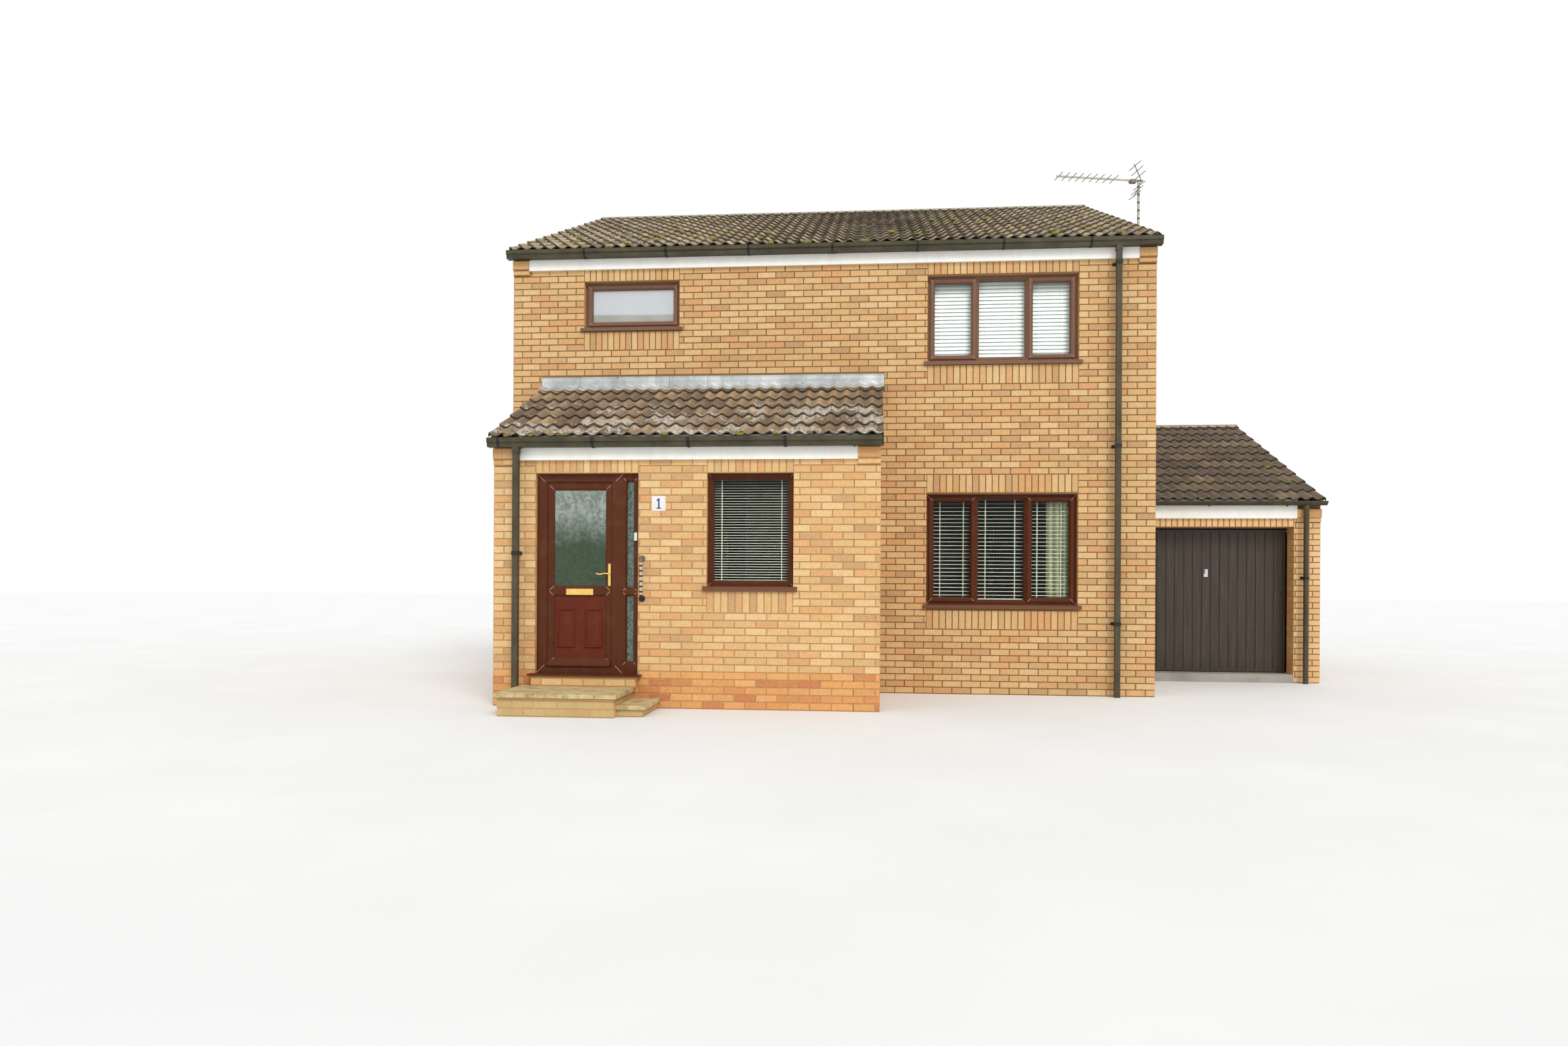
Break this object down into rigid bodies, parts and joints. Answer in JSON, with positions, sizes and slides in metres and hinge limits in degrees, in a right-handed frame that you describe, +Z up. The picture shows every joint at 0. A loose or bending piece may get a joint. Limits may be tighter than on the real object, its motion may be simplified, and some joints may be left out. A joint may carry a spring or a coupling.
{
  "type": "detached house",
  "caption": "Two-storey brick detached house with tiled roofs, a front porch with a side-lit door, an attached garage with an up-and-over door and a roof aerial.",
  "frame": {"origin": "underside of the ground floor, under the middle of the main block's footprint", "axes": "+X to the garage side (right when seen from the front), +Y to the rear, +Z up; the front door faces -Y"},
  "size_m": [10.433, 11.002, 7.2702],
  "materials": {
    "buff_brick": "rough multi-coloured buff stretcher bond brick",
    "brown_tiles": "weathered concrete pantiles with moss",
    "lichen_tiles": "concrete pantiles with heavy pale lichen",
    "dark_tiles": "dark concrete pantiles with moss and lichen spots",
    "ridge_concrete": "weathered concrete ridge tile",
    "lead_sheet": "dull weathered lead",
    "white_board": "white plastic board",
    "dark_gutter": "dark plastic",
    "brown_frame": "brown woodgrain plastic",
    "red_brown_door": "red brown woodgrain plastic",
    "window_pane": "clear glass",
    "frosted_pane": "patterned door glass",
    "blind_slat": "white painted slats",
    "curtain_cloth": "pale woven cloth",
    "brass": "polished brass",
    "white_plate": "white enamel-like plate",
    "black_grip": "black ribbed grip",
    "step_stone": "weathered concrete paving slab",
    "floor_concrete": "smooth concrete",
    "floor_boards": "plain floor boards on joists",
    "brown_door_steel": "dark brown painted ribbed steel",
    "black_track": "black painted steel",
    "roller_nylon": "white nylon wheel on a steel pin",
    "handle_metal": "bright plated handle",
    "aerial_metal": "weathered aluminium tube"
  },
  "bodies": {
    "house": {"front_wall": "buff_brick", "rear_wall": "buff_brick", "left_gable_wall": "buff_brick", "right_gable_wall": "buff_brick", "ground_floor": "floor_concrete", "upper_floor": "floor_boards", "main_roof_front": "brown_tiles", "main_roof_rear": "brown_tiles", "ridge_tiles": "ridge_concrete", "fascia_boards": "white_board", "main_gutters": "dark_gutter", "square_downpipes": "dark_gutter", "upper_left_window": "brown_frame", "upper_right_window": "brown_frame", "lower_right_window": "brown_frame", "rear_windows": "brown_frame", "window_glass": "window_pane", "window_blinds": "blind_slat", "window_curtain": "curtain_cloth", "porch_side_walls": "buff_brick", "porch_door_pier": "buff_brick", "porch_window_wall": "buff_brick", "porch_front_head": "buff_brick", "porch_roof": "lichen_tiles", "porch_flashing": "lead_sheet", "porch_gutter": "dark_gutter", "porch_window": "brown_frame", "door_frame": "red_brown_door", "house_number_plate": "white_plate", "doorbell": "white_plate", "grab_rail": "black_grip", "step_brickwork": "buff_brick", "step_slabs": "step_stone", "garage_piers": "buff_brick", "garage_front_head": "buff_brick", "garage_side_wall": "buff_brick", "garage_rear_wall": "buff_brick", "garage_floor": "floor_concrete", "garage_roof": "dark_tiles", "garage_gutters": "dark_gutter", "garage_downpipe": "dark_gutter", "garage_door_frame": "black_track", "aerial": "aerial_metal"},
    "front_door": {"front_door_leaf": "red_brown_door", "front_door_glass": "frosted_pane", "door_fittings": "brass"},
    "garage_door_carriage": {"garage_door_rollers": "roller_nylon"},
    "garage_door": {"garage_door_panel": "brown_door_steel", "garage_door_handle": "handle_metal"}
  },
  "joints": [
    {"name": "front_door_hinge", "type": "hinge", "parent": "house", "child": "front_door", "pos_m": [-2.8635, -5.738, 1.371], "axis": [0, 0, 1], "range_deg": [0, 90]},
    {"name": "garage_door_track", "type": "slide", "parent": "house", "child": "garage_door_carriage", "axis": [0, 1, 0], "range_m": [0, 1.94]},
    {"name": "garage_door_pivot", "type": "hinge", "parent": "garage_door_carriage", "child": "garage_door", "pos_m": [5.1075, -1.982, 2.035], "axis": [-1, 0, 0], "range_deg": [0, 90]}
  ],
  "couplings": [
    {"joint": "garage_door_pivot", "follows": "garage_door_track", "rad_per_m": 0.80879}
  ]
}
